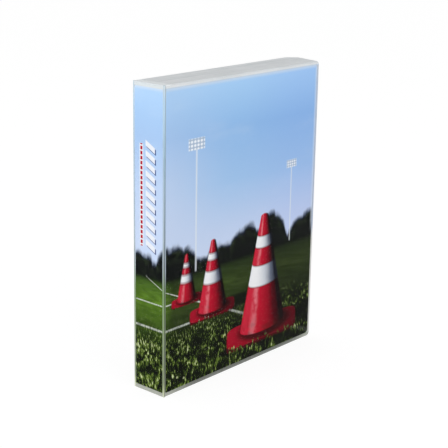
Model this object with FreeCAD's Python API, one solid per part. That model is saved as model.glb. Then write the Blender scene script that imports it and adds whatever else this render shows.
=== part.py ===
import FreeCAD, Part
import math
import os

# Upright clamshell album case for collectors' cards, closed, standing on its lower end.
# Millimetres. +Z up, the front panel faces -Y, the spine is at -X, the fore-edge at +X.
# "across" is measured from the spine's outer face, "deep" from the front's outer face.

# Case
case_height = 232.0
case_width = 180.5
case_depth = 31.0
front_width = 175.5
back_width = 174.2
widest_from = 22.0
widest_to = 24.5
wall = 1.8
corner_radius = 3.0
widest_blend = 3.0
edge_round = 0.45
parting = 20.0
parting_gap = 0.3
wall_start = 2.5

# Locating lip of the back half, inside the front half's walls
lip_gap = 0.6
lip_thick = 1.0
lip_rise = 4.0
lip_root = 2.0
lip_start = 8.0

# Finger notch in the front half's fore-edge wall
notch_radius = 30.0
notch_depth = 3.5
notch_reach = 12.0

# Hinge webs
hinge_radius = 0.8
hinge_gap = 0.25
bevel_gap = 0.25

# Printed insert and clear film
film = 0.3
paper = 0.25
print_recess = 0.3
film_margin = 0.6
print_margin = 3.0
print_side_margin = 2.0
film_hinge_margin = 1.95
print_hinge_margin = 2.2
spine_film_margin = 1.5
spine_print_margin = 1.7

# Ring mechanism
ring_spacing = 69.85
ring_radius = 8.5
ring_section = 1.4
strip_thick = 2.0
strip_width = 15.0
strip_length = 172.0
fixed_from = -28.0
fixed_to = 165.0
gate_from = -139.0
gate_to = -31.5
foot_before = 1.6
foot_behind = 3.0
foot_length = 5.0
foot_rise = 2.2
pin_radius = 0.75
pin_play = 0.1
knuckle_radius = 1.7
bar_length = 152.0
lug_length = 6.6
lug_gap = 0.4
lug_rise = 4.1
stud_radius = 1.6
stud_head_radius = 2.6
stud_head_rise = 0.9
stud_head_round = 0.6
stud_inner = 35.0
stud_outer = 80.0

# Pocket pages
page_count = 10
page_pitch = 0.6
page_thick = 0.35
page_width = 154.0
page_height = 204.0
page_corner = 3.0
page_edge_from_ring_axis = 2.5
page_hole_radius = 3.5
page_hole_across = 8.3

# Worked out from the above
inner_face = film + wall
mid_height = case_height / 2
mid_depth = case_depth / 2
ring_across = inner_face + strip_thick + ring_radius
ring_heights = [mid_height + step * ring_spacing for step in (-1, 0, 1)]
pin_across = ring_across + ring_radius * math.cos(math.radians(gate_from))
pin_deep = mid_depth + ring_radius * math.sin(math.radians(gate_from))
up = FreeCAD.Vector(0, 0, 1)
inward = FreeCAD.Vector(1, 0, 0)
rearward = FreeCAD.Vector(0, 1, 0)

# Overlap of joined forms, reach of cutters past a face, least inner radius, and matching tolerance
bite = 0.5
past = 1.0
least_radius = 0.5
near_enough = 0.01


def spot(across, deep, height=0.0):
    return FreeCAD.Vector(across - case_width / 2, deep - case_depth / 2, height)


def box(across, deep, height):
    sizes = [high - low for low, high in (across, deep, height)]
    return Part.makeBox(*sizes, spot(across[0], deep[0], height[0]))


def prism(outline, low, high):
    corners = [spot(across, deep, low) for across, deep in outline]
    face = Part.Face(Part.makePolygon(corners + corners[:1]))
    return face.extrude(up * (high - low))


def rod(across, deep, radius, low, high):
    return Part.makeCylinder(radius, high - low, spot(across, deep, low))


def shifted(start, end, inset):
    """The line from start to end, moved inward by inset."""
    run = math.hypot(end[0] - start[0], end[1] - start[1])
    normal = (-(end[1] - start[1]) / run, (end[0] - start[0]) / run)
    return [(p[0] + normal[0] * inset, p[1] + normal[1] * inset) for p in (start, end)]


def crossing(first, second):
    """Where two lines, each given by two points, meet."""
    (ax, ay), (bx, by) = first
    (cx, cy), (dx, dy) = second
    turn = (bx - ax) * (dy - cy) - (by - ay) * (dx - cx)
    along = ((cx - ax) * (dy - cy) - (cy - ay) * (dx - cx)) / turn
    return (ax + along * (bx - ax), ay + along * (by - ay))


def fore_edge_outline(inset, front, back, left):
    """Plan of the case: the fore-edge leans out towards the back, then is cut to the back panel."""
    bends = [(front_width, 0), (case_width, widest_from), (case_width, widest_to), (back_width, case_depth)]
    sides = [[(left, front), (case_width, front)]]
    sides += [shifted(a, b, inset) for a, b in zip(bends, bends[1:])]
    sides += [[(case_width, back), (left, back)]]
    turns = [crossing(a, b) for a, b in zip(sides, sides[1:])]
    return [(left, front)] + turns + [(left, back)]


def round_edges(solid, radius, wanted):
    return solid.makeFillet(radius, [edge for edge in solid.Edges if wanted(edge)])


def case_volume(inset, front, back, left):
    """The case as a block, inset at the fore-edge, top and bottom, between two panel planes."""
    outline = fore_edge_outline(inset, front, back, left)
    block = prism(outline, inset, case_height - inset)
    bends = [spot(*point) for point in outline[2:4]]
    block = round_edges(block, max(widest_blend - inset, least_radius), lambda edge: at_bend(edge, bends))
    radius = max(corner_radius - inset, least_radius)
    return round_edges(block, radius, on_fore_edge_rim)


def at_bend(edge, bends):
    ends = [vertex.Point for vertex in edge.Vertexes]
    upright = len(ends) == 2 and abs(ends[0].z - ends[1].z) > case_height / 2
    return upright and any(math.hypot(ends[0].x - b.x, ends[0].y - b.y) < near_enough for b in bends)


def on_fore_edge_rim(edge):
    ends = [vertex.Point for vertex in edge.Vertexes]
    level = abs(ends[0].z - ends[-1].z) < near_enough
    runs_deep = abs(ends[0].y - ends[-1].y) > near_enough
    return level and runs_deep and min(end.x for end in ends) > 0


def soft_rim(block, deep):
    """Rounds the panel's outer rim: top, fore-edge and bottom, in the panel plane."""
    plane = spot(0, deep).y

    def on_rim(edge):
        box_of = edge.BoundBox
        flat = abs(box_of.YMin - plane) < near_enough and abs(box_of.YMax - plane) < near_enough
        return flat and box_of.XMax > 0

    return round_edges(block, edge_round, on_rim)


def hinge_room(front):
    """Space kept free for the spine and its hinge web at the front or the rear edge."""
    bevel_across = hinge_radius + bevel_gap
    outline = [(-past, -past), (hinge_radius, -past), (hinge_radius, hinge_radius),
               (bevel_across, hinge_radius), (wall_start, wall_start - bevel_gap),
               (wall_start, case_depth + past), (-past, case_depth + past)]
    axis_deep = hinge_radius
    if not front:
        outline = [(across, case_depth - deep) for across, deep in outline]
        axis_deep = case_depth - hinge_radius
    groove = rod(hinge_radius, axis_deep, hinge_radius + hinge_gap, -past, case_height + past)
    return prism(outline, -past, case_height + past).fuse(groove)


def shell_half(front):
    """One half of the case: its panel and walls, up to the parting plane."""
    block = case_volume(0, film, case_depth - film, 0)
    block = soft_rim(soft_rim(block, film), case_depth - film)
    shell = block.cut(case_volume(wall, inner_face, case_depth - inner_face, -past))
    near = (-past, parting - parting_gap / 2)
    far = (parting + parting_gap / 2, case_depth + past)
    side = box((-past, case_width + past), near if front else far, (-past, case_height + past))
    return shell.common(side).cut(hinge_room(front))


def panel_plate(across, height, deep, radius):
    """A thin plate parallel to the front, rounded at its two fore-edge corners."""
    plate = box(across, deep, height)
    edge_x = spot(across[1], 0).x

    def at_corner(edge):
        box_of = edge.BoundBox
        return abs(box_of.XMin - edge_x) < near_enough and box_of.ZLength < near_enough

    return round_edges(plate, radius, at_corner)


def cover_layers(width, front):
    """Recess, insert and film of the front or back panel, from the panel's own width."""
    def deep(near, far):
        return (near, far) if front else (case_depth - far, case_depth - near)

    print_height = (print_margin, case_height - print_margin)
    film_height = (film_margin, case_height - film_margin)
    print_across = (print_hinge_margin, width - print_side_margin)
    film_across = (film_hinge_margin, width - film_margin)
    print_corner = corner_radius - film_margin
    floor = film + print_recess
    recess = panel_plate(print_across, print_height, deep(0, floor), print_corner)
    sheet = panel_plate(print_across, print_height, deep(floor - paper, floor), print_corner)
    overlay = panel_plate(film_across, film_height, deep(0, film), corner_radius)
    return recess, sheet, overlay


def lip():
    """Rim of the back half that reaches into the front half and locates it."""
    across = (lip_start, case_width)
    outer = case_volume(wall + lip_gap, inner_face, case_depth - inner_face, 0)
    root = case_volume(wall, inner_face, case_depth - inner_face, 0)
    inner = case_volume(wall + lip_gap + lip_thick, film, case_depth - film, -past)
    reach = box(across, (parting - lip_rise, parting + lip_root), (0, case_height))
    step = box(across, (parting + parting_gap / 2, parting + lip_root), (0, case_height))
    return outer.cut(inner).common(reach).fuse(root.cut(inner).common(step))


def front_cover(recess):
    axis = spot(case_width - notch_reach, parting + notch_radius - notch_depth, mid_height)
    notch = Part.makeCylinder(notch_radius, notch_reach, axis, inward)
    return shell_half(True).cut(recess).cut(notch)


def back_cover(recess):
    return shell_half(False).cut(recess).fuse(lip()).removeSplitter()


def spine_layers():
    deep = (spine_print_margin, case_depth - spine_print_margin)
    height = (print_margin, case_height - print_margin)
    floor = film + print_recess
    recess = box((0, floor), deep, height)
    sheet = box((floor - paper, floor), deep, height)
    overlay = box((0, film), (spine_film_margin, case_depth - spine_film_margin),
                  (film_margin, case_height - film_margin))
    return recess, sheet, overlay


def spine_panel(recess):
    bevel = inner_face + bevel_gap
    half = [(film, hinge_radius), (hinge_radius, hinge_radius), (inner_face, bevel)]
    outline = half + [(across, case_depth - deep) for across, deep in reversed(half)]
    panel = prism(outline, 0, case_height).cut(recess)
    return panel.cut(hinge_web(True)).cut(hinge_web(False))


def hinge_web(front):
    deep = hinge_radius if front else case_depth - hinge_radius
    return rod(hinge_radius, deep, hinge_radius, 0, case_height)


def half_ring(start, end, height):
    """Round wire arc about the ring axis, between two angles in plan."""
    centre = spot(ring_across, mid_depth, height)
    angle = math.radians(start)
    outward = FreeCAD.Vector(math.cos(angle), math.sin(angle), 0)
    along = FreeCAD.Vector(-math.sin(angle), math.cos(angle), 0)
    section = Part.Circle(centre + outward * ring_radius, along, ring_section).toShape()
    return Part.Face(Part.Wire(section)).revolve(centre, up, end - start)


def stud_heights():
    return [mid_height + step for step in (-stud_outer, -stud_inner, stud_inner, stud_outer)]


def along_spine(across, radius, length, height):
    """A round boss standing on the spine, pointing into the case."""
    return Part.makeCylinder(radius, length, spot(across, mid_depth, height), inward)


def lug_spans():
    near = bar_length / 2 + lug_gap
    far = near + lug_length
    return [(mid_height - far, mid_height - near), (mid_height + near, mid_height + far)]


def ring_base_strip():
    face = inner_face + strip_thick
    strip = box((inner_face, face), (mid_depth - strip_width / 2, mid_depth + strip_width / 2),
                (mid_height - strip_length / 2, mid_height + strip_length / 2))
    foot_deep = mid_depth + ring_radius * math.sin(math.radians(fixed_to))
    for height in ring_heights:
        foot = box((face - bite, face + foot_rise), (foot_deep - foot_before, foot_deep + foot_behind),
                   (height - foot_length / 2, height + foot_length / 2))
        strip = strip.fuse(foot).fuse(half_ring(fixed_from, fixed_to, height))
    lug_deep = (pin_deep - knuckle_radius, pin_deep + knuckle_radius)
    for span in lug_spans():
        strip = strip.fuse(box((face - bite, face + lug_rise), lug_deep, span))
    for height in stud_heights():
        strip = strip.cut(along_spine(inner_face, stud_radius, strip_thick, height))
    return strip.cut(ring_hinge_pin()).removeSplitter()


def ring_hinge_pin():
    spans = lug_spans()
    return rod(pin_across, pin_deep, pin_radius, spans[0][0], spans[1][1])


def ring_gate_bar():
    low = mid_height - bar_length / 2
    high = mid_height + bar_length / 2
    bar = rod(pin_across, pin_deep, knuckle_radius, low, high)
    for height in ring_heights:
        bar = bar.fuse(half_ring(gate_from, gate_to, height))
    return bar.cut(rod(pin_across, pin_deep, pin_radius + pin_play, low, high)).removeSplitter()


def ring_strip_studs():
    studs = []
    for height in stud_heights():
        shank = along_spine(inner_face, stud_radius, strip_thick, height)
        head = along_spine(inner_face + strip_thick, stud_head_radius, stud_head_rise, height)
        top = spot(inner_face + strip_thick + stud_head_rise, 0).x
        head = round_edges(head, stud_head_round, lambda edge: abs(edge.BoundBox.XMin - top) < near_enough)
        studs.append(shank.fuse(head))
    return Part.makeCompound(studs)


def pocket_page(number):
    deep = mid_depth + (number - (page_count + 1) / 2) * page_pitch
    inner = ring_across + page_edge_from_ring_axis
    height = (mid_height - page_height / 2, mid_height + page_height / 2)
    thickness = (deep - page_thick / 2, deep + page_thick / 2)
    page = panel_plate((inner, inner + page_width), height, thickness, page_corner)
    for height in ring_heights:
        centre = spot(ring_across + page_hole_across, deep - page_thick, height)
        page = page.cut(Part.makeCylinder(page_hole_radius, page_thick * 2, centre, rearward))
    return page


def build_nodes():
    front_recess, front_sheet, front_film = cover_layers(front_width, True)
    back_recess, back_sheet, back_film = cover_layers(back_width, False)
    spine_recess, spine_sheet, spine_film = spine_layers()
    nodes = {
        "back_cover": back_cover(back_recess),
        "spine_panel": spine_panel(spine_recess),
        "front_cover": front_cover(front_recess),
        "rear_hinge_web": hinge_web(False),
        "front_hinge_web": hinge_web(True),
        "back_print_sheet": back_sheet,
        "spine_print_sheet": spine_sheet,
        "front_print_sheet": front_sheet,
        "back_clear_overlay": back_film,
        "spine_clear_overlay": spine_film,
        "front_clear_overlay": front_film,
        "ring_base_strip": ring_base_strip(),
        "ring_gate_bar": ring_gate_bar(),
        "ring_hinge_pin": ring_hinge_pin(),
        "ring_strip_studs": ring_strip_studs(),
    }
    for number in range(1, page_count + 1):
        nodes["pocket_page_%02d" % number] = pocket_page(number)
    return nodes


os.makedirs("parts", exist_ok=True)
for name, shape in build_nodes().items():
    print(name, "valid" if shape.isValid() else "BROKEN", len(shape.Solids), round(shape.Volume, 1))
    shape.exportStep("parts/%s.step" % name)
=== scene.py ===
import math
import bmesh
import bpy
from mathutils import Matrix, Vector


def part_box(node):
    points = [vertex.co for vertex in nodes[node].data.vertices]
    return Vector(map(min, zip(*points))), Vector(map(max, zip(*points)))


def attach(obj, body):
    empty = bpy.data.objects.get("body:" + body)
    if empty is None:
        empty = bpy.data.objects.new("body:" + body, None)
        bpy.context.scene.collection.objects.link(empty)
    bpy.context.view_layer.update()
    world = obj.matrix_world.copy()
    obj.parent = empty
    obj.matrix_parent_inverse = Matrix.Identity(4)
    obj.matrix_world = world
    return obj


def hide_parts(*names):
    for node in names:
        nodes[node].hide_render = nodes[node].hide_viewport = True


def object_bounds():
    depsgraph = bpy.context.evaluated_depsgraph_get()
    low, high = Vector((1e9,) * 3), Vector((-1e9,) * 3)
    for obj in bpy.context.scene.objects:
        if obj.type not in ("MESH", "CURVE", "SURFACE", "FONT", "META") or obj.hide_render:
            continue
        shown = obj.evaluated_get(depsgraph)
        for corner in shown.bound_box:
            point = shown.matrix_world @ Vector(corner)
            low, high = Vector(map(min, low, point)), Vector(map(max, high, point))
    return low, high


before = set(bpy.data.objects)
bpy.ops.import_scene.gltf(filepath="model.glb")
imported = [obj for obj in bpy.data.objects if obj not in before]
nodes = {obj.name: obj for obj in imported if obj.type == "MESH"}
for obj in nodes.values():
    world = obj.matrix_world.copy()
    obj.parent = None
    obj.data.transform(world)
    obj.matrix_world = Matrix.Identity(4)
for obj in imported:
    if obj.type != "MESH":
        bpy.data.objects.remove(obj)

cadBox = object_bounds()
print("frame loaded:", len(nodes), "nodes")


# sRGB numbers, as a paint chart gives them, to the linear colour that Blender wants
def tint(red, green, blue):
    def straighten(part):
        part = part / 255
        return part / 12.92 if part <= 0.04045 else ((part + 0.055) / 1.055) ** 2.4
    return (straighten(red), straighten(green), straighten(blue), 1.0)


class Wire:  # a shader socket that takes part in sums
    def __init__(self, tree, socket=None):
        self.tree = tree
        self.socket = socket

    def add(self, kind, settings=None, sockets=None, out=0):
        node = self.tree.nodes.new("ShaderNode" + kind)
        for name, value in (settings or {}).items():
            if name == "stops":
                ramp = node.color_ramp.elements
                while len(ramp) < len(value):
                    ramp.new(0.5)
                for stop, (place, colour) in zip(ramp, value):
                    stop.position = place
                    stop.color = colour
            else:
                setattr(node, name, value)
        for name, value in (sockets or {}).items():
            if isinstance(value, Wire):
                self.tree.links.new(value.socket, node.inputs[name])
            else:
                node.inputs[name].default_value = value
        return Wire(self.tree, node.outputs[out])

    def other(self, name):  # another output of the same node
        return Wire(self.tree, self.socket.node.outputs[name])

    def math(self, operation, first, second=0.0):
        return self.add("Math", {"operation": operation}, {0: first, 1: second})

    def __add__(self, other):
        return self.math("ADD", self, other)

    def __radd__(self, other):
        return self.math("ADD", other, self)

    def __sub__(self, other):
        return self.math("SUBTRACT", self, other)

    def __rsub__(self, other):
        return self.math("SUBTRACT", other, self)

    def __mul__(self, other):
        return self.math("MULTIPLY", self, other)

    def __rmul__(self, other):
        return self.math("MULTIPLY", other, self)

    def __truediv__(self, other):
        return self.math("DIVIDE", self, other)

    def __rtruediv__(self, other):
        return self.math("DIVIDE", other, self)

    def __pow__(self, other):
        return self.math("POWER", self, other)

    def __abs__(self):
        return self.math("ABSOLUTE", self)

    def least(self, other):
        return self.math("MINIMUM", self, other)

    def most(self, other):
        return self.math("MAXIMUM", self, other)

    def root(self):
        return self.math("SQRT", self)

    def sine(self):
        return self.math("SINE", self)

    def fraction(self):
        return self.math("FRACT", self)

    def ramp(self, stops):
        return self.add("ValToRGB", {"stops": stops}, {0: self})

    def rise(self, low, high):  # soft step from 0 at low to 1 at high
        return self.add("MapRange", {"interpolation_type": "SMOOTHSTEP"},
                        {"Value": self, "From Min": low, "From Max": high})

    def within(self, low, high, soft):
        return self.rise(low - soft, low + soft) * (1 - self.rise(high - soft, high + soft))


def colourMix(pen, share, first, second):
    return pen.add("Mix", {"data_type": "RGBA"}, {0: share, 6: first, 7: second}, out=2)


def colourTimes(pen, share, first, second):
    settings = {"data_type": "RGBA", "blend_type": "MULTIPLY"}
    return pen.add("Mix", settings, {0: share, 6: first, 7: second}, out=2)


def spotAt(pen, x, y, z=0.0):
    return pen.add("CombineXYZ", {}, {0: x, 1: y, 2: z})


def noise(pen, place, scale, detail=3.0, rough=0.5):
    sockets = {"Vector": place, "Scale": scale, "Detail": detail, "Roughness": rough}
    return pen.add("TexNoise", {}, sockets, out="Fac")


def stretched(pen, axes, scales, detail=3.0, rough=0.5):  # noise with its own scale along each axis
    spot = spotAt(pen, *[axis * scale for axis, scale in zip(axes, scales)])
    return noise(pen, spot, 1.0, detail, rough)


def objectPlace(pen):
    return pen.add("TexCoord", {}, {}, out="Object")


def axesOf(pen, place):
    x = pen.add("SeparateXYZ", {}, {0: place})
    return x, x.other("Y"), x.other("Z")


def varied(pair, share):  # a base value and what is added to it where share is 1
    base, extra = pair
    return base + extra * share


def newFinish(name, constants):
    material = bpy.data.materials.new(name)
    material.use_nodes = True
    tree = material.node_tree
    shader = tree.nodes["Principled BSDF"]
    for socket, value in constants.items():
        shader.inputs[socket].default_value = value
    return material, Wire(tree), shader


def feed(shader, **links):
    names = {"colour": "Base Color", "roughness": "Roughness", "normal": "Normal", "alpha": "Alpha"}
    for name, wire in links.items():
        wire.tree.links.new(wire.socket, shader.inputs[names[name]])


def bump(pen, height, strength, distance):
    return pen.add("Bump", {}, {"Height": height, "Strength": strength, "Distance": distance})


# Printed insert: one wide picture of a practice field that wraps from the front over the spine to the back.
# "along" runs to the right from the front fold, "up" from the sheet's lower edge, both in sheet heights.
# A pair of numbers holds the two ends of a soft step, unless a note says otherwise.
horizon = 0.385
skyLook = {
    "tones": [(horizon, tint(210, 222, 246)), (0.50, tint(196, 214, 244)), (0.66, tint(164, 200, 240)),
              (0.84, tint(148, 191, 238)), (1.0, tint(172, 213, 252))],
    "pale": tint(203, 218, 244),
    "paleAlong": (-0.05, 0.36),
    "paleUp": (0.58, 0.95),
    "paleShare": (0.8, -0.58),  # low in the sky, and what is added high up
    "deep": tint(247, 247, 255),
    "deepAlong": (0.30, 0.70),
    "cloud": tint(220, 232, 248),
    "cloudScales": (2.86, 6.76),  # along, up
    "cloudDetail": 6.0,
    "cloudEdge": (0.52, 0.82),
    "cloudShare": 0.22,
}


def sky(pen, along, up):
    p = skyLook
    drift = stretched(pen, (along, up), p["cloudScales"], p["cloudDetail"])
    pale = (1 - along.rise(*p["paleAlong"])) * varied(p["paleShare"], up.rise(*p["paleUp"]))
    colour = colourMix(pen, pale, up.ramp(p["tones"]), p["pale"])
    colour = colourTimes(pen, along.rise(*p["deepAlong"]), colour, p["deep"])
    return colourMix(pen, drift.rise(*p["cloudEdge"]) * p["cloudShare"], colour, p["cloud"])


treeLook = {
    "dark": tint(10, 14, 13),
    "light": tint(36, 46, 30),
    "haze": tint(66, 78, 104),
    "hazeShare": 0.6,
    "hazeDepth": 0.022,
    "edgeSoft": 0.013,
    "lowestTop": horizon - 0.045,
    "swell": 0.15,
    "swellScale": 4.2,
    "swellRow": 0.37,
    "boughs": 0.030,
    "boughScale": 26.0,
    "crowns": [(0.105, 0.3, 0.040), (0.043, 4.1, 0.012)],  # width, shift, height
    "crownHalf": 0.62,
    "leafScale": 44.0,
    "leafEdge": (0.42, 0.70),
    "litDepth": (0.01, 0.08),
}


def crown(pen, along, wide, shift):  # a row of round tree tops, from 0 to 1
    sockets = {"W": along / wide + shift, "Scale": 1.0}
    distance = pen.add("TexVoronoi", {"voronoi_dimensions": "1D"}, sockets, out="Distance")
    return (1 - (distance / treeLook["crownHalf"]) ** 2).most(0.0).root()


def trees(pen, along, up, below):  # behind the field, out of focus
    p = treeLook
    swell = noise(pen, spotAt(pen, along, p["swellRow"]), p["swellScale"], detail=1.0)
    boughs = noise(pen, spotAt(pen, along, up), p["boughScale"], detail=2.0)
    leaves = noise(pen, spotAt(pen, along, up), p["leafScale"])
    top = p["lowestTop"] + swell * p["swell"] + boughs * p["boughs"]
    for wide, shift, tall in p["crowns"]:
        top = top + crown(pen, along, wide, shift) * tall
    depth = top - up
    lit = leaves.rise(*p["leafEdge"]) * (1 - depth.rise(*p["litDepth"]))
    colour = colourMix(pen, lit, p["dark"], p["light"])
    colour = colourMix(pen, (1 - depth.rise(0.0, p["hazeDepth"])) * p["hazeShare"], colour, p["haze"])
    return colourMix(pen, depth.rise(-p["edgeSoft"], p["edgeSoft"]), below, colour)


# Each mast is (place along, top, half width of its pole). Other sizes are in those half widths.
mastSet = {
    "steel": tint(226, 234, 242),
    "lamp": tint(252, 253, 255),
    "frame": tint(176, 192, 212),
    "poleEdge": (0.2, 1.5),
    "poleSoft": 0.003,
    "poleShare": 0.75,
    "headEdge": (8.2, 9.8),
    "headBelow": 2.0,
    "headAbove": 7.0,
    "headSoft": 0.0026,
    "headShare": 0.85,
    "lampTall": 3.0,
    "lampWide": 3.6,
    "lampEdge": (0.06, 0.20),
    "front": [(0.150, 0.80, 0.0042), (0.640, 0.66, 0.0030)],
    "back": [(-0.50, 0.76, 0.0040)],
    "spine": [],
}


def mast(pen, along, up, below, at, top, half):
    p = mastSet
    offset = abs(along - at)
    poleEdge = [half * edge for edge in p["poleEdge"]]
    pole = (1 - offset.rise(*poleEdge)) * up.within(horizon, top, p["poleSoft"])
    headEdge = [half * edge for edge in p["headEdge"]]
    headLow, headHigh = top - half * p["headBelow"], top + half * p["headAbove"]
    head = (1 - offset.rise(*headEdge)) * up.within(headLow, headHigh, p["headSoft"])
    lampUp = ((up - top) / (half * p["lampTall"])).fraction() - 0.5
    lampAlong = ((along - at) / (half * p["lampWide"])).fraction() - 0.5
    gaps = (lampUp * lampUp + lampAlong * lampAlong).rise(*p["lampEdge"])
    colour = colourMix(pen, pole * p["poleShare"], below, p["steel"])
    return colourMix(pen, head * p["headShare"], colour, colourMix(pen, gaps, p["lamp"], p["frame"]))


fieldLook = {
    "eyeRise": 0.045,
    "vanishAlong": -0.18,
    "tones": [(0.0, tint(20, 27, 11)), (0.12, tint(33, 46, 17)), (0.22, tint(74, 104, 34)),
              (0.31, tint(104, 142, 47)), (0.365, tint(78, 110, 41)), (horizon, tint(30, 42, 22))],
    "mown": tint(196, 204, 178),
    "mownRate": 2.6,
    "mownEdge": (-0.5, 0.5),
    "mownShare": 0.35,
    "patch": tint(140, 150, 120),
    "patchScales": (2.8, 1.6),  # across the ground, away from the eye
    "patchEdge": (0.25, 0.75),
    "patchShare": 0.7,
    "gap": tint(9, 13, 6),
    "gapEdge": (0.28, 0.52),
    "tip": tint(160, 180, 96),
    "tipEdge": (0.58, 0.80),
    "tuftScales": (34, 34),  # across the ground, away from the eye
    "tuftShare": (0.7, -0.55),  # near, and what is added far off, where the field is out of focus
    "tuftUp": (0.22, 0.35),
    "shade": tint(173, 161, 213),
    "shadeAlong": (-0.01, 0.05),
    "dusk": tint(212, 205, 230),
    "duskAlong": (0.15, 0.60),
    "chalk": tint(224, 229, 222),
    "chalkShare": 0.9,
    "chalkEdge": (0.26, 0.54),
    "chalkWorn": (0.35, 0.65),  # least share, and what is added where no straw covers it
    "strawEdge": (0.40, 0.54),
    "lineAt": 2.25,
    "lineHalf": 0.065,
    "lineCore": 0.3,
    "lineStop": 0.01,
    "crossLines": [(0.300, 0.0034), (0.213, 0.0056)],  # up, half height
    "crossCore": 0.2,
}
turfLook = {
    "blades": [(0.38, tint(6, 9, 4)), (0.50, tint(24, 33, 11)), (0.58, tint(66, 87, 29)),
               (0.66, tint(128, 150, 64)), (0.76, tint(216, 223, 178))],
    "leanScale": 7.0,
    "blade": {"scales": (96, 33), "bends": (10, 4), "detail": 3.0, "rough": 0.6},
    "straw": {"scales": (190, 66), "bends": (-12, 3), "detail": 2.0, "rough": 0.5},
    "strawShare": (0.30, 0.40),  # at the lower edge, and what is added further up
    "strawUp": (0.03, 0.17),
    "middle": 0.52,
    "contrast": 1.7,
    "clumpScales": (15, 24),  # along, up
    "clumpContrast": 0.6,
    "darker": [((-0.02, 0.08), 0.045), ((0.15, 0.8), 0.05)],  # soft step along, how much darker
    "sparkle": tint(214, 222, 172),
    "sparkleCells": 30,
    "sparkleChosen": (0.78, 0.82),
    "sparkleEdge": (0.06, 0.17),
    "sparkleUp": (0.06, 0.20),
    "sparkleShare": 0.7,
    "turfUp": (0.11, 0.26),
    "turfShare": 0.94,
}


def leaning(pen, axes, lean, scales, bends, detail, rough):  # noise whose streaks lean to and fro
    spot = [axis * scale + lean * bend for axis, scale, bend in zip(axes, scales, bends)]
    return noise(pen, spotAt(pen, *spot), 1.0, detail, rough)


def farField(pen, along, up, straw):
    p = fieldLook
    near = 1 / (horizon + p["eyeRise"] - up).most(p["eyeRise"])
    ground = (along - p["vanishAlong"]) * near
    tuft = stretched(pen, (ground, near), p["tuftScales"], detail=4.0, rough=0.65)
    patch = stretched(pen, (ground, near), p["patchScales"], detail=4.0)
    mown = (ground * p["mownRate"]).sine().rise(*p["mownEdge"])
    crisp = varied(p["tuftShare"], up.rise(*p["tuftUp"]))
    colour = colourTimes(pen, mown * p["mownShare"], up.ramp(p["tones"]), p["mown"])
    colour = colourTimes(pen, (1 - patch.rise(*p["patchEdge"])) * p["patchShare"], colour, p["patch"])
    colour = colourMix(pen, (1 - tuft.rise(*p["gapEdge"])) * crisp, colour, p["gap"])
    colour = colourMix(pen, tuft.rise(*p["tipEdge"]) * crisp, colour, p["tip"])
    colour = colourTimes(pen, along.rise(*p["shadeAlong"]), colour, p["shade"])
    colour = colourTimes(pen, along.rise(*p["duskAlong"]), colour, p["dusk"])
    chalky = 1 - abs(ground - p["lineAt"]).rise(p["lineHalf"] * p["lineCore"], p["lineHalf"])
    inField = 1 - ground.rise(p["lineAt"] - p["lineStop"], p["lineAt"])
    for crossUp, crossHalf in p["crossLines"]:
        crossLine = 1 - abs(up - crossUp).rise(crossHalf * p["crossCore"], crossHalf)
        chalky = chalky.most(crossLine * inField)
    worn = tuft.rise(*p["chalkEdge"]) * varied(p["chalkWorn"], straw.rise(*p["strawEdge"]))
    return colourMix(pen, chalky * worn * p["chalkShare"], colour, p["chalk"])


def nearTurf(pen, along, up, blade, straw):
    p = turfLook
    clump = stretched(pen, (along, up), p["clumpScales"])
    mixed = blade + (straw - blade) * varied(p["strawShare"], up.rise(*p["strawUp"]))
    level = p["middle"] + (mixed - 0.5) * p["contrast"] + (clump - 0.5) * p["clumpContrast"]
    for steps, amount in p["darker"]:
        level = level - along.rise(*steps) * amount
    cellPlace = spotAt(pen, along * p["sparkleCells"], up * p["sparkleCells"])
    cell = pen.add("TexVoronoi", {}, {"Vector": cellPlace, "Scale": 1.0}, out="Distance")
    chance = pen.add("SeparateColor", {}, {0: cell.other("Color")}, out="Red")
    glint = chance.rise(*p["sparkleChosen"]) * (1 - cell.rise(*p["sparkleEdge"]))
    glint = glint * (1 - up.rise(*p["sparkleUp"]))
    return colourMix(pen, glint * p["sparkleShare"], level.ramp(p["blades"]), p["sparkle"])


def grass(pen, along, up):
    p = turfLook
    lean = noise(pen, spotAt(pen, along, up), p["leanScale"], detail=2.0)
    blade = leaning(pen, (along, up), lean, **p["blade"])
    straw = leaning(pen, (along, up), lean, **p["straw"])
    close = 1 - up.rise(*p["turfUp"])
    turf = nearTurf(pen, along, up, blade, straw)
    return colourMix(pen, close * p["turfShare"], farField(pen, along, up, straw), turf), blade


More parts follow.
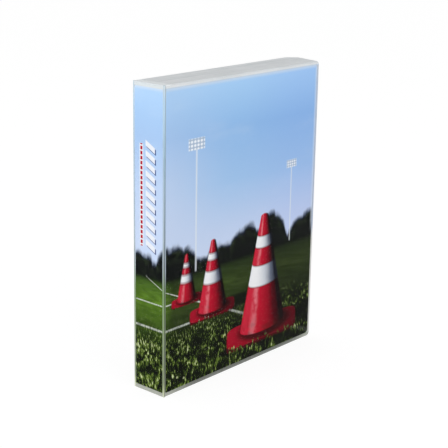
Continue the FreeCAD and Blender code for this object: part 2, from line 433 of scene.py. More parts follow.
# Each cone is (place along, foot, height, softness of its edges). Other sizes are in cone heights.
# An oval is (its middle across, its middle high, half its size across, half its size high).
coneSet = {
    "red": [(0.0, tint(14, 2, 5)), (0.30, tint(78, 6, 18)), (0.62, tint(156, 14, 36)),
            (0.88, tint(192, 24, 48)), (1.0, tint(204, 40, 62))],
    "redScuff": 0.30,
    "shine": tint(248, 176, 184),
    "shineSide": -0.44,
    "shineEdge": (0.02, 0.24),
    "shineScuff": (0.30, 0.62),
    "shineShare": 0.42,
    "band": [(0.0, tint(26, 29, 40)), (0.34, tint(104, 112, 130)), (0.70, tint(204, 209, 217)),
             (1.0, tint(244, 245, 247))],
    "bandScuff": 0.16,
    "bands": [(0.40, 0.58), (0.73, 0.83)],  # from, to
    "bandSag": 0.24,
    "seam": tint(150, 128, 134),
    "seamShare": 0.5,
    "seamHalf": 0.004,
    "seamSoft": 1.6,
    "soil": tint(34, 26, 16),
    "soilHigh": (-0.08, 0.20),
    "soilScuff": (0.46, 0.66),
    "soilShare": 0.45,
    "plate": [(0.0, tint(168, 18, 42)), (0.45, tint(124, 11, 30)), (1.0, tint(34, 3, 9))],
    "plateSlope": 0.85,
    "plateMiddle": 0.42,
    "plateScuff": 0.3,
    "rim": tint(72, 6, 18),
    "shade": tint(4, 6, 3),
    "shadowOval": (0.46, -0.04, 0.80, 0.13),
    "shadowEdge": (0.25, 1.0),
    "shadowShare": 0.88,
    "rimOval": (0.0, -0.078, 0.475, 0.104),
    "plateOval": (0.0, -0.040, 0.47, 0.102),
    "platePower": 6,
    "plateBlur": (0.1, 8.0),  # least, and what is added per softness
    "contactOval": (0.03, -0.020, 0.37, 0.118),
    "contactEdge": (0.6, 1.3),
    "contactShare": 0.8,
    "bladeFoot": -0.165,
    "bladeTall": 0.07,
    "bladeEdge": (0.50, 0.66),
    "bladeSoft": 0.01,
    "footHalf": 0.30,
    "tipHalf": 0.048,
    "leastHalf": 0.02,
    "footSag": 0.075,
    "tipSag": 0.02,
    "tipHigh": 0.99,
    "light": (0.16, 0.60, -0.64),  # base, what the middle adds, what the right side adds
    "scuffScales": (3.2, 11.0),  # around, up
    "scuffShift": 40.0,
    "front": [(0.500, 0.110, 0.40, 0.005), (0.235, 0.240, 0.235, 0.013), (0.108, 0.303, 0.150, 0.026)],
    "back": [(-0.36, 0.110, 0.30, 0.007), (-0.62, 0.250, 0.150, 0.026)],
    "spine": [],
}


def oval(across, high, form, power=2):  # below 1 inside, and squarer with a higher power
    middleAcross, middleHigh, halfAcross, halfHigh = form
    return ((across - middleAcross) / halfAcross) ** power + ((high - middleHigh) / halfHigh) ** power


def conePlate(pen, across, high, below, scuff, blade, soft):
    p = coneSet
    blades = p["bladeFoot"] + blade.rise(*p["bladeEdge"]) * p["bladeTall"]
    clear = (high - blades).rise(-p["bladeSoft"], p["bladeSoft"])
    blur = varied(p["plateBlur"], soft)
    rim = oval(across, high, p["rimOval"], p["platePower"])
    plate = oval(across, high, p["plateOval"], p["platePower"])
    contact = oval(across, high, p["contactOval"])
    colour = colourMix(pen, (1 - rim.rise(1 - blur, 1 + blur)) * clear, below, p["rim"])
    tone = across * p["plateSlope"] + p["plateMiddle"] + (scuff - 0.5) * p["plateScuff"]
    dark = (1 - contact.rise(*p["contactEdge"])) * p["contactShare"]
    top = colourMix(pen, dark, tone.ramp(p["plate"]), p["shade"])
    return colourMix(pen, (1 - plate.rise(1 - blur, 1 + blur)) * clear, colour, top)


def coneSkin(pen, side, bulge, half, high, scuff, soft):
    p = coneSet
    base, middle, right = p["light"]
    light = base + middle * bulge + right * side
    level = high + p["bandSag"] * half * bulge
    low, upper = p["bands"]
    banded = level.within(*low, soft).most(level.within(*upper, soft))
    seams = 0
    for edge in low + upper:
        seams = seams + (1 - abs(level - edge).rise(soft, soft * p["seamSoft"] + p["seamHalf"]))
    red = (light + (scuff - 0.5) * p["redScuff"]).ramp(p["red"])
    shine = (1 - abs(side - p["shineSide"]).rise(*p["shineEdge"])) * scuff.rise(*p["shineScuff"])
    red = colourMix(pen, shine * p["shineShare"], red, p["shine"])
    white = (light + (scuff - 0.5) * p["bandScuff"]).ramp(p["band"])
    skin = colourMix(pen, banded, red, white)
    skin = colourTimes(pen, seams.least(1.0) * p["seamShare"], skin, p["seam"])
    soiled = (1 - high.rise(*p["soilHigh"])) * scuff.rise(*p["soilScuff"])
    return colourMix(pen, soiled * p["soilShare"], skin, p["soil"])


def cone(pen, along, up, below, blade, at, foot, tall, soft):
    p = coneSet
    across = (along - at) / tall
    high = (up - foot) / tall
    shadow = oval(across, high, p["shadowOval"])
    colour = colourMix(pen, (1 - shadow.rise(*p["shadowEdge"])) * p["shadowShare"], below, p["shade"])
    half = (p["footHalf"] - (p["footHalf"] - p["tipHalf"]) * high).most(p["leastHalf"])
    side = (across / half).most(-1.0).least(1.0)
    bulge = (1 - side * side).root()
    around, upward = p["scuffScales"]
    scuffPlace = spotAt(pen, side * around + at * p["scuffShift"], high * upward)
    scuff = noise(pen, scuffPlace, 1.0, detail=5.0, rough=0.62)
    colour = conePlate(pen, across, high, colour, scuff, blade, soft)
    body = (half - abs(across)).rise(-soft, soft) * (high + p["footSag"] * bulge).rise(-soft, soft)
    body = body * (1 - (high - p["tipSag"] * bulge).rise(p["tipHigh"] - soft, p["tipHigh"] + soft))
    return colourMix(pen, body, colour, coneSkin(pen, side, bulge, half, high, scuff, soft))


spineMark = {
    "middle": -0.062,
    "halfWide": 0.021,
    "low": 0.475,
    "high": 0.830,
    "edgeSoft": 0.001,
    "bars": 11,
    "slant": 0.35,
    "fill": 0.56,
    "fillSoft": 0.03,
    "endSoft": 0.01,
    "white": tint(234, 238, 246),
    "navy": tint(34, 54, 118),
    "shadeAlong": 0.0046,
    "shadeUp": -0.0050,
    "shadeShare": 0.92,
    "stripe": tint(178, 20, 44),
    "stripeAt": -0.101,
    "stripeHalf": 0.0052,
    "stripeEdge": 0.0085,
    "stripeIn": 0.01,
    "stripeSoft": 0.0008,
    "dashes": 22,
    "dashFrom": 0.14,
    "dashTo": 0.86,
    "dashSoft": 0.05,
}


def hashBars(along, up):
    p = spineMark
    beat = (up - p["low"]) / (p["high"] - p["low"]) * p["bars"]
    beat = beat + (along - p["middle"]) / p["halfWide"] * p["slant"]
    wide = 1 - abs(along - p["middle"]).rise(p["halfWide"] - p["edgeSoft"], p["halfWide"])
    bar = beat.fraction().within(0.5 - p["fill"] / 2, 0.5 + p["fill"] / 2, p["fillSoft"])
    return wide * bar * beat.within(0.0, p["bars"], p["endSoft"])


def spineBadge(pen, along, up, below):
    p = spineMark
    shade = hashBars(along - p["shadeAlong"], up - p["shadeUp"])
    colour = colourMix(pen, shade * p["shadeShare"], below, p["navy"])
    colour = colourMix(pen, hashBars(along, up), colour, p["white"])
    offset = abs(along - p["stripeAt"])
    tall = up.within(p["low"] + p["stripeIn"], p["high"] - p["stripeIn"], p["stripeSoft"])
    edging = (1 - offset.rise(p["stripeEdge"] - p["edgeSoft"], p["stripeEdge"])) * tall
    colour = colourMix(pen, edging, colour, p["white"])
    beat = ((up - p["low"]) / (p["high"] - p["low"]) * p["dashes"]).fraction()
    dash = (1 - offset.rise(p["stripeHalf"] - p["edgeSoft"], p["stripeHalf"])) * tall
    dash = dash * beat.within(p["dashFrom"], p["dashTo"], p["dashSoft"])
    return colourMix(pen, dash, colour, p["stripe"])


printLook = {
    "edgeHaze": tint(218, 228, 240),
    "edgeReach": 0.013,
    "edgeRise": 0.06,
    "edgeShare": 0.6,
    "horizonSoft": 0.010,
    "specular": 0.03,
    "grainScale": 2600.0,
    "rough": (0.34, 0.12),  # base, and what the grain adds
    "bump": (0.04, 0.0001),  # strength, distance
}


def sheetPlace(pen, place, part):  # along, up, and how far the sheet's open edges are
    low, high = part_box("front_print_sheet")
    tall = high.z - low.z
    fold = cadBox[0]
    x, y, z = axesOf(pen, place)
    up = (z - low.z) / tall
    if part == "front":
        along = (x - fold.x) / tall
        return along, up, (1 - up).least((high.x - fold.x) / tall - along)
    if part == "spine":
        return (fold.y - y) / tall, up, 1 - up
    depth = (cadBox[1].y - fold.y) / tall
    return (fold.x - x) / tall - depth, up, 1 - up


def printedPaper(part):
    p = printLook
    name = "printedInsert" + part.capitalize()
    material, pen, shader = newFinish(name, {"Specular IOR Level": p["specular"]})
    place = objectPlace(pen)
    along, up, edge = sheetPlace(pen, place, part)
    colour = trees(pen, along, up, sky(pen, along, up))
    for at, top, half in mastSet[part]:
        colour = mast(pen, along, up, colour, at, top, half)
    hazy = (1 - edge.rise(0.0, p["edgeReach"])) * up.rise(horizon, horizon + p["edgeRise"])
    colour = colourMix(pen, hazy * p["edgeShare"], colour, p["edgeHaze"])
    ground, blade = grass(pen, along, up)
    colour = colourMix(pen, (horizon - up).rise(-p["horizonSoft"], p["horizonSoft"]), colour, ground)
    for at, foot, tall, soft in reversed(coneSet[part]):
        colour = cone(pen, along, up, colour, blade, at, foot, tall, soft)
    if part == "spine":
        colour = spineBadge(pen, along, up, colour)
    grain = noise(pen, place, p["grainScale"], detail=2.0)
    feed(shader, colour=colour, roughness=varied(p["rough"], grain), normal=bump(pen, grain, *p["bump"]))
    return material


# Frosted plastic of the two halves and the spine. Next to the print it takes up some of the print's colour,
# and the borders at the fore-edge and below the print also carry painted shade.
# Ramps here run over the height of the case, and lengths are in metres.
shellLook = {
    "body": tint(232, 235, 237),
    "streak": tint(206, 212, 215),
    "streakScales": (9, 620, 9),
    "streakMiddle": 0.42,
    "streakContrast": (0.25, 0.75),  # on upright faces, and what level faces add
    "streakPart": 0.65,
    "streakEdge": (0.36, 0.66),
    "streakShare": 0.8,
    "cloudScale": 34.0,
    "foldTone": [(0.0, tint(92, 102, 72)), (0.35, tint(88, 112, 62)), (0.42, tint(192, 208, 226)),
                 (0.62, tint(180, 205, 232)), (0.93, tint(184, 212, 238)), (1.0, tint(204, 218, 228))],
    "foldShare": 0.85,
    # fore-edge border: painted shade of the rounded edge, following the print's colours by height
    "foreShadeTone": [(0.0, tint(206, 206, 200)), (0.37, tint(206, 206, 200)), (0.42, tint(164, 178, 202)),
                 (0.93, tint(172, 188, 210)), (1.0, tint(196, 206, 216))],
    "foreShare": 0.85,
    "hemTone": tint(176, 202, 230),
    "hemReach": 0.0014,
    "hemShare": 0.75,
    "spineRim": tint(216, 223, 226),
    "spineTop": tint(242, 246, 248),
    # border below the print: painted shade together with the dark print colour it takes up, darkest in the
    # middle
    "lowShadeTone": tint(166, 169, 156),
    "lowShadeMiddle": tint(96, 99, 88),
    "lowEnds": (0.60, 0.95),
    "lowShare": 0.9,
    "border": 0.0032,
    "faceDepth": 0.0005,
    "soft": 0.0003,
    "grainScale": 1500.0,
    "rough": 0.40,
    "roughGrain": 0.16,
    "roughStreak": 0.08,
    "bumpGrain": 0.7,
    "bump": (0.10, 0.0002),  # strength, distance
    "constants": {"Specular IOR Level": 0.3, "IOR": 1.49},
}


def frostedPlastic():
    p = shellLook
    low, high = cadBox
    printLow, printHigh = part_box("front_print_sheet")
    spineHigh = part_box("spine_print_sheet")[1]
    near, deep, soft, border = p["faceDepth"], 2 * p["faceDepth"], p["soft"], p["border"]
    material, pen, shader = newFinish("frostedShell", p["constants"])
    place = objectPlace(pen)
    x, y, z = axesOf(pen, place)

    # Masks of the outer faces
    spine = 1 - x.rise(low.x + near, low.x + deep)
    front = 1 - y.rise(low.y + near, low.y + deep)
    back = y.rise(high.y - deep, high.y - near)
    broad = front.most(back)
    level = z.rise(high.z - deep, high.z - near).most(1 - z.rise(near, deep)) * (1 - spine)

    # Flow streaks, strongest on the level faces
    streak = stretched(pen, (x, y, z), p["streakScales"], detail=4.0, rough=0.6)
    middle = p["streakMiddle"]
    streak = middle + (streak - middle) * varied(p["streakContrast"], level)
    cloud = noise(pen, place, p["cloudScale"], detail=4.0)
    streaky = (streak * p["streakPart"] + cloud * (1 - p["streakPart"])).rise(*p["streakEdge"])
    colour = colourMix(pen, streaky * p["streakShare"], p["body"], p["streak"])

    # Border above the print, and the spine's end of the top
    rimLow = high.z - border
    aboveRim = z.rise(rimLow - soft, rimLow)
    hem = broad * aboveRim * (1 - z.rise(rimLow, rimLow + p["hemReach"]))
    colour = colourMix(pen, hem * p["hemShare"], colour, p["hemTone"])
    colour = colourMix(pen, spine * aboveRim, colour, p["spineRim"])
    crest = level * z.rise(0.0, high.z) * (1 - x.rise(low.x + border, low.x + 3 * border))
    colour = colourMix(pen, crest, colour, p["spineTop"])

    # Borders beside the print: at the folds, and at the fore-edge, where the tone is painted shade of the
    # rounded edge
    tall = z / high.z
    beside = z.within(border, rimLow, soft)
    fold = broad * (1 - x.rise(printLow.x, printLow.x + soft))
    fold = fold.most(spine * abs(y).rise(spineHigh.y - soft, spineHigh.y)) * beside
    colour = colourMix(pen, fold * p["foldShare"], colour, tall.ramp(p["foldTone"]))
    fore = broad * x.rise(printHigh.x - 2 * soft, printHigh.x) * beside
    colour = colourMix(pen, fore * p["foreShare"], colour, tall.ramp(p["foreShadeTone"]))

    # Border below the print: painted shade together with the dark print colour taken up from beside it,
    # darkest in the middle
    ends = (abs(x) / high.x).rise(*p["lowEnds"]).most(spine)
    lowShadeTone = colourMix(pen, ends, p["lowShadeMiddle"], p["lowShadeTone"])
    lowShadeEdge = (1 - z.rise(border - soft, border)) * broad.most(spine)
    colour = colourMix(pen, lowShadeEdge * p["lowShare"], colour, lowShadeTone)

    grain = noise(pen, place, p["grainScale"], rough=0.6)
    roughness = p["rough"] + p["roughGrain"] * grain + p["roughStreak"] * streak
    height = grain * p["bumpGrain"] + streak * (1 - p["bumpGrain"])
    feed(shader, colour=colour, roughness=roughness, normal=bump(pen, height, *p["bump"]))
    return material


# Hinge web: pale on the spine's side of the fold and deeper on the cover's side, where the groove's shade
# is painted in; both follow the print's colours by height. Plain plastic inside
webLook = {
    # pale: the lit, spine side of the fold; deep: the cover's side, in painted shade of the groove
    "pale": [(0.0, tint(226, 230, 210)), (0.02, tint(206, 215, 172)), (0.035, tint(166, 178, 134)),
             (0.05, tint(136, 149, 114)), (0.15, tint(146, 160, 126)), (0.34, tint(132, 160, 108)),
             (0.44, tint(152, 162, 164)), (0.52, tint(170, 186, 196)), (0.63, tint(172, 190, 206)),
             (0.79, tint(166, 191, 210)), (0.95, tint(180, 208, 229)), (1.0, tint(204, 217, 224))],
    "deep": [(0.0, tint(172, 175, 156)), (0.02, tint(154, 161, 128)), (0.05, tint(124, 135, 106)),
             (0.08, tint(106, 118, 94)), (0.15, tint(104, 114, 92)), (0.34, tint(86, 108, 68)),
             (0.44, tint(100, 110, 112)), (0.52, tint(130, 146, 156)), (0.63, tint(144, 164, 178)),
             (0.79, tint(156, 188, 202)), (0.95, tint(190, 220, 240)), (1.0, tint(212, 226, 234))],
    "sideEdge": (-0.0002, 0.0003),
    "inwardEdge": (0.0014, 0.0019),
    "crease": tint(222, 226, 226),
    "creaseScales": (900, 900, 40),
    "creaseEdge": (0.40, 0.66),
    "creaseShare": 0.4,
    "blush": tint(216, 222, 222),
    "blushScales": (60, 60, 22),
    "blushEdge": (0.5, 0.75),
    "blushShare": 0.4,
    "rough": (0.30, 0.2),  # base, and what the creases add
    "bump": (0.15, 0.0002),  # strength, distance
    "specular": 0.3,
}


def flexedWeb():
    p = webLook
    low, high = cadBox
    material, pen, shader = newFinish("hingeWeb", {"Specular IOR Level": p["specular"]})
    axes = axesOf(pen, objectPlace(pen))
    x, y, z = axes
    crease = stretched(pen, axes, p["creaseScales"], detail=4.0, rough=0.65)
    blush = stretched(pen, axes, p["blushScales"])
    tall = z / high.z
    fromSpine = x - low.x
    fromCover = high.y - abs(y)
    # painted shade: the cover's side of the fold takes the deep ramp
    shadedCoverSide = (fromSpine - fromCover).rise(*p["sideEdge"])
    colour = colourMix(pen, shadedCoverSide, tall.ramp(p["pale"]), tall.ramp(p["deep"]))
    inward = (fromSpine + fromCover).rise(*p["inwardEdge"])
    colour = colourMix(pen, inward, colour, shellLook["body"])
    colour = colourTimes(pen, crease.rise(*p["creaseEdge"]) * p["creaseShare"], colour, p["crease"])
    colour = colourTimes(pen, blush.rise(*p["blushEdge"]) * p["blushShare"], colour, p["blush"])
    feed(shader, colour=colour, roughness=varied(p["rough"], crease), normal=bump(pen, crease, *p["bump"]))
    return material


filmLook = {
    "clear": 0.001,
    "scuffed": 0.004,
    "scuffScales": (900, 900, 120),
    "scuffEdge": (0.62, 0.80),
    "welded": 0.05,
    "weldFrom": 0.0006,
    "weldReach": 0.0016,
    "waveScales": (26, 26, 14),
    "rough": (0.06, 0.10),  # base, and what the scuffs add
    "bump": (0.10, 0.002),  # strength, distance
    "constants": {"Base Color": (0.95, 0.96, 0.97, 1.0), "IOR": 1.49},
}


def clearFilm():
    p = filmLook
    low, high = cadBox
    material, pen, shader = newFinish("clearFilm", p["constants"])
    axes = axesOf(pen, objectPlace(pen))
    z = axes[2]
    wave = stretched(pen, axes, p["waveScales"], detail=2.0)
    scuff = stretched(pen, axes, p["scuffScales"], rough=0.7)
    weld = 1 - (high.z - z).least(z - low.z).rise(p["weldFrom"], p["weldFrom"] + p["weldReach"])
    alpha = p["clear"] + p["scuffed"] * scuff.rise(*p["scuffEdge"]) + p["welded"] * weld
    feed(shader, alpha=alpha, roughness=varied(p["rough"], scuff), normal=bump(pen, wave, *p["bump"]))
    return material


pageLook = {  # of each pair for alpha and roughness: base, and what the noise adds
    "film": (tint(224, 232, 236), tint(240, 244, 246)),
    "filmAlpha": (0.11, 0.07),
    "filmRough": (0.12, 0.18),
    "filmBump": (0.10, 0.0002),  # strength, distance
    "filmHaze": 40.0,
    "pebble": 900.0,
    "weld": (tint(232, 238, 240), tint(246, 248, 249)),
    "weldAlpha": (0.55, 0.15),
    "weldRough": (0.26, 0.14),
    "weldBump": (0.20, 0.0002),
    "weldHaze": 60.0,
    "knurl": 2600.0,
    "constants": {"IOR": 1.49},
}


def pageFilm():
    p = pageLook
    material, pen, shader = newFinish("pageFilm", p["constants"])
    place = objectPlace(pen)
    pebble = noise(pen, place, p["pebble"], rough=0.6)
    haze = noise(pen, place, p["filmHaze"])
    feed(shader, colour=colourMix(pen, haze, *p["film"]), alpha=varied(p["filmAlpha"], haze),
         roughness=varied(p["filmRough"], pebble), normal=bump(pen, pebble, *p["filmBump"]))
    return material


def pageWeld():
    p = pageLook
    material, pen, shader = newFinish("pageWeld", p["constants"])
    place = objectPlace(pen)
    x, y, z = axesOf(pen, place)
    knurl = ((x + z) * p["knurl"]).sine() * ((x - z) * p["knurl"]).sine()
    haze = noise(pen, place, p["weldHaze"])
    feed(shader, colour=colourMix(pen, haze, *p["weld"]), alpha=varied(p["weldAlpha"], haze),
         roughness=varied(p["weldRough"], haze), normal=bump(pen, knurl, *p["weldBump"]))
    return material


ringLook = {
    "tones": (tint(236, 238, 238), tint(220, 224, 224)),
    "flowScales": (120, 120, 30),
    "flowEdge": (0.35, 0.7),
    "grainScale": 1800.0,
    "rough": (0.26, 0.14),  # base, and what the flow adds
    "bump": (0.06, 0.0002),  # strength, distance
    "constants": {"Subsurface Weight": 0.1, "Specular IOR Level": 0.5},
}


def ringPlastic():
    p = ringLook
    material, pen, shader = newFinish("ringPlastic", p["constants"])
    place = objectPlace(pen)
    flow = stretched(pen, axesOf(pen, place), p["flowScales"], detail=4.0)
    grain = noise(pen, place, p["grainScale"], detail=2.0)
    feed(shader, colour=colourMix(pen, flow.rise(*p["flowEdge"]), *p["tones"]),
         roughness=varied(p["rough"], flow), normal=bump(pen, grain, *p["bump"]))
    return material


pinLook = {
    "tones": (tint(176, 178, 182), tint(206, 208, 212)),
    "drawScales": (4000, 4000, 60),
    "rough": (0.22, 0.2),  # base, and what the draw marks add
    "bump": (0.08, 0.0001),  # strength, distance
}


def steelPin():
    p = pinLook
    material, pen, shader = newFinish("drawnSteel", {"Metallic": 1.0})
    draw = stretched(pen, axesOf(pen, objectPlace(pen)), p["drawScales"])
    feed(shader, colour=colourMix(pen, draw, *p["tones"]), roughness=varied(p["rough"], draw),
         normal=bump(pen, draw, *p["bump"]))
    return material


def wear(material, *names):
    for name in names:
        mesh = nodes[name].data
        mesh.materials.clear()
        mesh.materials.append(material)


wear(frostedPlastic(), "back_cover", "spine_panel", "front_cover")
wear(flexedWeb(), "rear_hinge_web", "front_hinge_web")
wear(ringPlastic(), "ring_base_strip", "ring_gate_bar", "ring_strip_studs")
wear(steelPin(), "ring_hinge_pin")
print("frame finishes on:", len(bpy.data.materials), "materials")


# Flat sheets with rounded corners: the insert's three panels and the film welded over them.
# A ring is (distance in from the rim, height above the sheet's inner face). Lengths are in metres.
sheetForm = {
    "corner": 0.0008,
    "leastCorner": 0.0002,
    "arcSteps": 6,
    "cutSpacing": 0.011,
    "calmRim": 0.010,
    "sharpAngle": math.radians(50),
    "tiny": 1e-7,
    "print": {"rings": [(0.0, 0.00020), (0.0004, 0.00024)], "foreCorner": 0.0028, "ripple": 0.00001,
              "lift": 0.0},
    "film": {"rings": [(0.0, 0.00014), (0.00012, 0.00023), (0.00045, 0.00024), (0.00070, 0.00030),
                       (0.00095, 0.00024), (0.0014, 0.00023)], "foreCorner": 0.0024, "ripple": 0.00003,
             "lift": 0.00002},
}
panels = {  # the fore-edge lies at the low or the high end along the panel
    "front": {"along": Vector((1, 0, 0)), "outward": Vector((0, -1, 0)), "foreEdge": "high",
              "body": "front_half"},
    "spine": {"along": Vector((0, -1, 0)), "outward": Vector((-1, 0, 0)), "foreEdge": None,
              "body": "spine"},
    "back": {"along": Vector((-1, 0, 0)), "outward": Vector((0, 1, 0)), "foreEdge": "low",
             "body": "back_half"},
}


def roundedOutline(low, high, lowRadius, highRadius):
    steps = sheetForm["arcSteps"]
    corners = [(low[0], low[1], lowRadius, 1, 1, 180), (high[0], low[1], highRadius, -1, 1, 270),
               (high[0], high[1], highRadius, -1, -1, 0), (low[0], high[1], lowRadius, 1, -1, 90)]
    points = []
    for u, v, radius, inU, inV, start in corners:
        for step in range(steps + 1):
            angle = math.radians(start + 90 * step / steps)
            points.append((u + radius * (inU + math.cos(angle)), v + radius * (inV + math.sin(angle))))
    return points


def ripple(u, v):  # slow waves with no common beat
    return math.sin(u * 97 + 0.6) * math.sin(v * 71 + 0.2) + 0.5 * math.sin(u * 41 - v * 53)


def cutGrid(form, spans):  # cuts across each axis, so that the sheet can ripple
    for axis, (first, last) in enumerate(spans):
        count = round((last - first) / sheetForm["cutSpacing"])
        for k in range(1, count):
            place = [0.0, 0.0, 0.0]
            place[axis] = first + (last - first) * k / count
            normal = [0.0, 0.0, 0.0]
            normal[axis] = 1.0
            everything = form.verts[:] + form.edges[:] + form.faces[:]
            bmesh.ops.bisect_plane(form, geom=everything, dist=sheetForm["tiny"],
                                   plane_co=place, plane_no=normal)


def sheetMesh(part, kind, node):
    p = sheetForm[kind]
    along, outward = panels[part]["along"], panels[part]["outward"]
    foreEdge = panels[part]["foreEdge"]
    low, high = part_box(node)
    upward = Vector((0, 0, 1))
    start, end = sorted((along.dot(low), along.dot(high)))
    base = min(outward.dot(low), outward.dot(high))
    radii = [p["foreCorner"] if foreEdge == side else sheetForm["corner"] for side in ("low", "high")]
    form = bmesh.new()
    loops = []
    for inset, height in [(0.0, p["lift"])] + p["rings"]:
        outline = roundedOutline((start + inset, low.z + inset), (end - inset, high.z - inset),
                                 *[max(radius - inset, sheetForm["leastCorner"]) for radius in radii])
        loops.append([form.verts.new((u, v, height)) for u, v in outline])
    for outer, inner in zip(loops, loops[1:]):
        for k in range(len(outer)):
            form.faces.new((outer[k - 1], outer[k], inner[k], inner[k - 1]))
    form.faces.new(loops[-1])
    form.faces.new(reversed(loops[0]))
    cutGrid(form, [(start, end), (low.z, high.z)])
    rimWide, flat = p["rings"][-1]
    for vert in form.verts:
        u, v, height = vert.co
        inside = min(u - start, end - u, v - low.z, high.z - v) - rimWide
        if inside > 0 and abs(height - flat) < sheetForm["tiny"]:
            calm = min(inside / sheetForm["calmRim"], 1.0)
            height += p["ripple"] * ripple(u, v) * calm * calm * (3 - 2 * calm)
        vert.co = along * u + upward * v + outward * (base + height)
    mesh = bpy.data.meshes.new(node + "_form")
    form.to_mesh(mesh)
    form.free()
    mesh.polygons.foreach_set("use_smooth", [True] * len(mesh.polygons))
    mesh.set_sharp_from_angle(angle=sheetForm["sharpAngle"])
    return mesh


def sheetPiece(part, kind, node, material):
    mesh = sheetMesh(part, kind, node)
    mesh.materials.append(material)
    piece = bpy.data.objects.new(kind + part.capitalize(), mesh)
    bpy.context.scene.collection.objects.link(piece)
    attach(piece, panels[part]["body"])
    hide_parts(node)


filmFinish = clearFilm()
for part in panels:
    sheetPiece(part, "print", part + "_print_sheet", printedPaper(part))
    sheetPiece(part, "film", part + "_clear_overlay", filmFinish)
print("insert and film in place")


# Pocket pages: a thin leaf with three ring holes, weld lines round four pockets, and thumb notches
pageForm = {
    "holeIn": 0.0058,
    "holeRadius": 0.0035,
    "holeSpacing": 0.06985,
    "holeSteps": 28,
    "eyeletWide": 0.0013,
    "corner": 0.0030,
    "leaf": 0.00022,
    "relief": 0.00030,
    "bindingWide": 0.0200,
    "rim": 0.0016,
    "weldHalf": 0.0006,
    "weldSlope": 0.25,
    "mouthDrop": 0.0030,
    "mouthHalf": 0.0003,
    "notchRadius": 0.0090,
    "arcSteps": 20,
    "mergeGap": 1e-6,
}


def bar(form, lowU, highU, lowV, highV, base, top):
    slope = min(highU - lowU, highV - lowV) * pageForm["weldSlope"]
    feet = [form.verts.new(spot + (base,)) for spot in
            ((lowU, lowV), (highU, lowV), (highU, highV), (lowU, highV))]
    crest = [form.verts.new(spot + (top,)) for spot in
             ((lowU + slope, lowV + slope), (highU - slope, lowV + slope),
              (highU - slope, highV - slope), (lowU + slope, highV - slope))]
    form.faces.new(reversed(feet))
    form.faces.new(crest)
    for k in range(4):
        form.faces.new((feet[k - 1], feet[k], crest[k], crest[k - 1]))


def arcBar(form, u, v, inner, outer, start, sweep, base, top):
    steps = pageForm["arcSteps"]
    slope = (outer - inner) * pageForm["weldSlope"]
    profile = [(inner, base), (outer, base), (outer - slope, top), (inner + slope, top)]
    closed = sweep == 360
    sections = []
    for step in range(steps if closed else steps + 1):
        angle = math.radians(start + sweep * step / steps)
        across, upward = math.cos(angle), math.sin(angle)
        sections.append([form.verts.new((u + radius * across, v + radius * upward, height))
                         for radius, height in profile])
    for k in range(0 if closed else 1, len(sections)):
        for side in range(4):
            form.faces.new((sections[k - 1][side - 1], sections[k][side - 1],
                            sections[k][side], sections[k - 1][side]))
    if not closed:
        form.faces.new(sections[0])
        form.faces.new(reversed(sections[-1]))


def circle(u, v, radius, count):
    turns = [2 * math.pi * k / count for k in range(count)]
    return [(u + radius * math.cos(turn), v + radius * math.sin(turn)) for turn in turns]


def leafMesh(wide, tall, holes):
    p = pageForm
    curve = bpy.data.curves.new("leaf", "CURVE")
    curve.dimensions = "2D"
    curve.fill_mode = "BOTH"
    curve.extrude = p["leaf"] / 2
    outlines = [roundedOutline((0, 0), (wide, tall), p["corner"], p["corner"])]
    outlines += [circle(u, v, p["holeRadius"], p["holeSteps"]) for u, v in holes]
    for outline in outlines:
        spline = curve.splines.new("POLY")
        spline.points.add(len(outline) - 1)
        for point, (u, v) in zip(spline.points, outline):
            point.co = (u, v, 0.0, 1.0)
        spline.use_cyclic_u = True
    holder = bpy.data.objects.new("leaf", curve)
    mesh = bpy.data.meshes.new_from_object(holder)
    bpy.data.objects.remove(holder)
    bpy.data.curves.remove(curve)
    return mesh


def pocketWelds(form, wide, tall, base, top):
    p = pageForm
    left, right = p["bindingWide"], wide - p["rim"]
    middle = (left + right) / 2
    half = p["weldHalf"]
    thin = p["mouthHalf"]
    reach = p["notchRadius"]
    for u in (left, middle, right):
        bar(form, u - half, u + half, p["rim"], tall - p["rim"], base, top)
    for low, high in ((p["rim"], tall / 2), (tall / 2, tall - p["rim"])):
        mouth = high - p["mouthDrop"]
        for start, end in ((left, middle), (middle, right)):
            centre = (start + end) / 2
            bar(form, start + half, end - half, low, low + 2 * half, base, top)
            bar(form, start + half, centre - reach - thin, mouth - thin, mouth + thin, base, top)
            bar(form, centre + reach + thin, end - half, mouth - thin, mouth + thin, base, top)
            arcBar(form, centre, mouth, reach - thin, reach + thin, 180, 180, base, top)


def pageMesh(wide, tall):
    p = pageForm
    holes = [(p["holeIn"], tall / 2 + step * p["holeSpacing"]) for step in (-1, 0, 1)]
    form = bmesh.new()
    leaf = leafMesh(wide, tall, holes)
    form.from_mesh(leaf)
    bpy.data.meshes.remove(leaf)
    bmesh.ops.remove_doubles(form, verts=form.verts[:], dist=p["mergeGap"])
    filmFaces = len(form.faces)
    base, top = p["leaf"] / 2, p["relief"] - p["leaf"] / 2
    for u, v in holes:
        arcBar(form, u, v, p["holeRadius"], p["holeRadius"] + p["eyeletWide"], 0, 360, base, top)
    pocketWelds(form, wide, tall, base, top)
    form.normal_update()
    bmesh.ops.recalc_face_normals(form, faces=form.faces[:])
    for k, face in enumerate(form.faces):
        face.material_index = 0 if k < filmFaces else 1
    mesh = bpy.data.meshes.new("pocketPage")
    form.to_mesh(mesh)
    form.free()
    mesh.transform(Matrix(((1, 0, 0), (0, 0, -1), (0, 1, 0))).to_4x4())
    return mesh


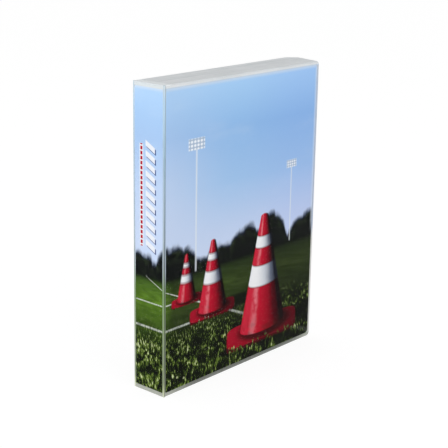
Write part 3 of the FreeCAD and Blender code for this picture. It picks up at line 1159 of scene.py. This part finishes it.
pageNames = sorted(name for name in nodes if name.startswith("pocket_page"))
pageLow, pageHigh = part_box(pageNames[0])
pageShape = pageMesh(pageHigh.x - pageLow.x, pageHigh.z - pageLow.z)
pageShape.materials.append(pageFilm())
pageShape.materials.append(pageWeld())
for node in pageNames:
    low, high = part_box(node)
    number = node[-2:]
    page = bpy.data.objects.new("page" + number, pageShape)
    page.location = (low.x, (low.y + high.y) / 2, low.z)
    bpy.context.scene.collection.objects.link(page)
    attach(page, "page_" + number)
    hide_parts(node)
print("pages in place:", len(pageNames))


# Camera of the photograph
cameraView = {
    "target": Vector((-0.02571, -0.01529, 0.12022)),
    "distance": 0.87975,
    "azimuth": math.radians(48.747),
    "elevation": math.radians(16.092),
    "roll": math.radians(0.950),
    "lens": 94.293,
    "sensor": 36.0,
    "nearest": 0.01,
}


def placeCamera():
    p = cameraView
    around, over = p["azimuth"], p["elevation"]
    back = Vector((-math.sin(around) * math.cos(over), -math.cos(around) * math.cos(over), math.sin(over)))
    right = Vector((math.cos(around), -math.sin(around), 0.0))
    upward = back.cross(right)
    rightTurned = right * math.cos(p["roll"]) + upward * math.sin(p["roll"])
    upTurned = back.cross(rightTurned)
    lensData = bpy.data.cameras.new("photoCamera")
    lensData.lens = p["lens"]
    lensData.sensor_width = p["sensor"]
    lensData.sensor_fit = "HORIZONTAL"
    lensData.clip_start = p["nearest"]
    camera = bpy.data.objects.new("photoCamera", lensData)
    cameraMatrix = Matrix((rightTurned, upTurned, back)).transposed().to_4x4()
    cameraMatrix.translation = p["target"] + back * p["distance"]
    camera.matrix_world = cameraMatrix
    bpy.context.scene.collection.objects.link(camera)
    bpy.context.scene.camera = camera


# Studio: pale floor, even soft light that is a little stronger on the spine
studio = {
    "white": (1.0, 1.0, 1.0, 1.0),
    "worldLight": 0.58,
    "floorHalf": 6.0,
    "floor": {"Base Color": (0.86, 0.86, 0.86, 1.0), "Roughness": 0.9},
    "floorShare": 0.8,
    "floorWhite": 1.11,
    "lamps": [  # name, place, target, size, power
        ("spineLamp", (-1.6, 0.15, 0.35), (0.0, 0.0, 0.12), 1.2, 12.6),
        ("frontLamp", (-0.3, -1.9, 0.40), (0.0, 0.0, 0.12), 1.4, 14.0),
    ],
}


def straightRays(pen):  # 1 where the camera, a reflection or clear film looks at the surface
    ray = pen.add("LightPath", {}, {}, out="Is Camera Ray")
    return ray.most(ray.other("Is Glossy Ray")).most(ray.other("Is Transmission Ray"))


def floorFinish():
    p = studio
    material, pen, shader = newFinish("paleFloor", p["floor"])
    glow = pen.add("Emission", {}, {"Color": p["white"], "Strength": p["floorWhite"]})
    shaded = Wire(pen.tree, shader.outputs["BSDF"])
    mixed = pen.add("MixShader", {}, {0: straightRays(pen) * p["floorShare"], 1: shaded, 2: glow})
    pen.tree.links.new(mixed.socket, pen.tree.nodes["Material Output"].inputs["Surface"])
    return material


def layFloor():
    half = studio["floorHalf"]
    mesh = bpy.data.meshes.new("floor")
    corners = [(-half, -half, 0), (half, -half, 0), (half, half, 0), (-half, half, 0)]
    mesh.from_pydata(corners, [], [(0, 1, 2, 3)])
    mesh.materials.append(floorFinish())
    floor = bpy.data.objects.new("floor", mesh)
    bpy.context.scene.collection.objects.link(floor)


def hangLamps():
    for name, place, target, size, power in studio["lamps"]:
        lamp = bpy.data.lights.new(name, "AREA")
        lamp.energy = power
        lamp.size = size
        holder = bpy.data.objects.new(name, lamp)
        holder.location = place
        holder.rotation_euler = (Vector(place) - Vector(target)).to_track_quat("Z", "Y").to_euler()
        bpy.context.scene.collection.objects.link(holder)


def lightWorld():
    p = studio
    world = bpy.data.worlds.new("studioWorld")
    world.use_nodes = True
    bpy.context.scene.world = world
    pen = Wire(world.node_tree)
    background = world.node_tree.nodes["Background"]
    background.inputs["Color"].default_value = p["white"]
    strength = p["worldLight"] + straightRays(pen) * (1 - p["worldLight"])
    pen.tree.links.new(strength.socket, background.inputs["Strength"])


placeCamera()
layFloor()
hangLamps()
lightWorld()
bpy.context.scene.view_settings.view_transform = "Standard"
bpy.context.scene.cycles.transparent_max_bounces = 48  # ten clear pages can lie one behind the other
print("camera and studio in place")
